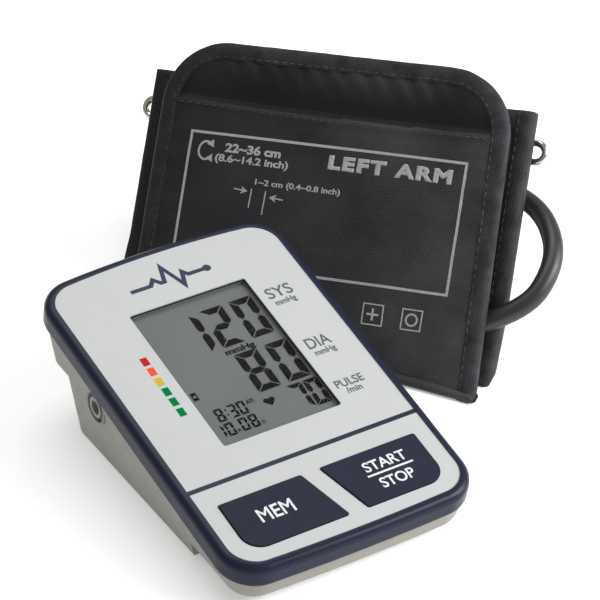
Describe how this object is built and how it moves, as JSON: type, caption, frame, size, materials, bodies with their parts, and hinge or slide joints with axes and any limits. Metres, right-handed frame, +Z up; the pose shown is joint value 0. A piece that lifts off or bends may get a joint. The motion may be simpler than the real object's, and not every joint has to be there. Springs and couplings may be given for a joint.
{
  "type": "upper arm blood pressure monitor",
  "caption": "Desktop blood pressure monitor with sloped display panel and two push keys, beside its folded arm cuff with D-ring and coiled air hose.",
  "frame": {"origin": "centre of the monitor's flat base on the table", "axes": "+Z up, -Y towards the user's side of the monitor where the keys are, +X to the user's right; the cuff stands behind and to the right"},
  "size_m": [0.2377, 0.2563, 0.0921],
  "materials": {
    "navy_plastic": "satin navy moulding",
    "white_plastic": "satin white moulding",
    "grey_plastic": "matt warm grey moulding",
    "clear_lens": "clear window",
    "lcd_glass": "liquid crystal display",
    "dark_plastic": "matt",
    "circuit_board": "solder resist",
    "steel": "plated",
    "battery_jacket": "printed jacket",
    "rubber": "matt",
    "silicone": "translucent",
    "jack_plastic": "matt",
    "nylon": "coated twill",
    "tape": "ribbed binding tape",
    "hook_and_loop": "hook and loop",
    "bladder_rubber": "smooth",
    "nickel": "polished nickel",
    "hose_rubber": "smooth",
    "plug_plastic": "matt"
  },
  "bodies": {
    "monitor_and_cuff": {"air_hose": "hose_rubber", "air_hose_end": "hose_rubber", "air_jack": "jack_plastic", "air_manifold": "dark_plastic", "air_plug": "plug_plastic", "batteries": "battery_jacket", "battery_contacts": "steel", "battery_springs": "steel", "bladder": "bladder_rubber", "board_screws": "steel", "buzzer": "dark_plastic", "capacitors": "dark_plastic", "coil_tie": "tape", "cuff_floor_strip": "nylon", "cuff_front": "nylon", "cuff_front_binding": "tape", "cuff_leg": "nylon", "cuff_rear": "nylon", "cuff_rear_binding": "tape", "display_panel": "white_plastic", "hook_pad": "hook_and_loop", "hose_coil": "hose_rubber", "hose_port": "hose_rubber", "housing_screws": "steel", "jack_tube": "silicone", "key_panel": "white_plastic", "lcd_frame": "dark_plastic", "lcd_glass": "lcd_glass", "lcd_lens": "clear_lens", "loop_pad": "hook_and_loop", "lower_housing": "grey_plastic", "main_board": "circuit_board", "mem_switch": "dark_plastic", "microcontroller": "dark_plastic", "pressure_sensor": "dark_plastic", "pump_head": "dark_plastic", "pump_motor": "steel", "pump_tube": "silicone", "release_valve": "dark_plastic", "ring_sleeve": "tape", "rubber_feet": "rubber", "sensor_tube": "silicone", "start_switch": "dark_plastic", "upper_cover": "navy_plastic", "valve_tube": "silicone"},
    "mem_key": {"mem_key": "navy_plastic"},
    "start_stop_key": {"start_stop_key": "navy_plastic"},
    "battery_door": {"battery_door": "grey_plastic", "door_foot": "rubber"},
    "pump_rotor": {"pump_rotor": "steel"},
    "valve_plunger": {"valve_plunger": "steel"},
    "d_ring": {"d_ring": "nickel"}
  },
  "joints": [
    {"name": "mem_key_press", "type": "slide", "parent": "monitor_and_cuff", "child": "mem_key", "axis": [0, 0.2096, -0.9778], "range_m": [0, 0.0008], "stiffness_N_per_m": 1500, "springref_m": -0.0008},
    {"name": "start_stop_key_press", "type": "slide", "parent": "monitor_and_cuff", "child": "start_stop_key", "axis": [0, 0.2096, -0.9778], "range_m": [0, 0.0008], "stiffness_N_per_m": 1500, "springref_m": -0.0008},
    {"name": "battery_door_slide", "type": "slide", "parent": "monitor_and_cuff", "child": "battery_door", "axis": [0, -1, 0], "range_m": [0, 0.035]},
    {"name": "pump_rotor_spin", "type": "hinge", "parent": "monitor_and_cuff", "child": "pump_rotor", "pos_m": [0, 0.0338, 0.013], "axis": [1, 0, 0], "continuous": true},
    {"name": "valve_plunger_slide", "type": "slide", "parent": "monitor_and_cuff", "child": "valve_plunger", "axis": [0, 1, 0], "range_m": [0, 0.0008], "stiffness_N_per_m": 200},
    {"name": "d_ring_swing", "type": "hinge", "parent": "monitor_and_cuff", "child": "d_ring", "pos_m": [0.09896, 0.09064, 0.05616], "axis": [0.6085, -0.7887, 0.0878], "range_deg": [-10, 35]}
  ]
}
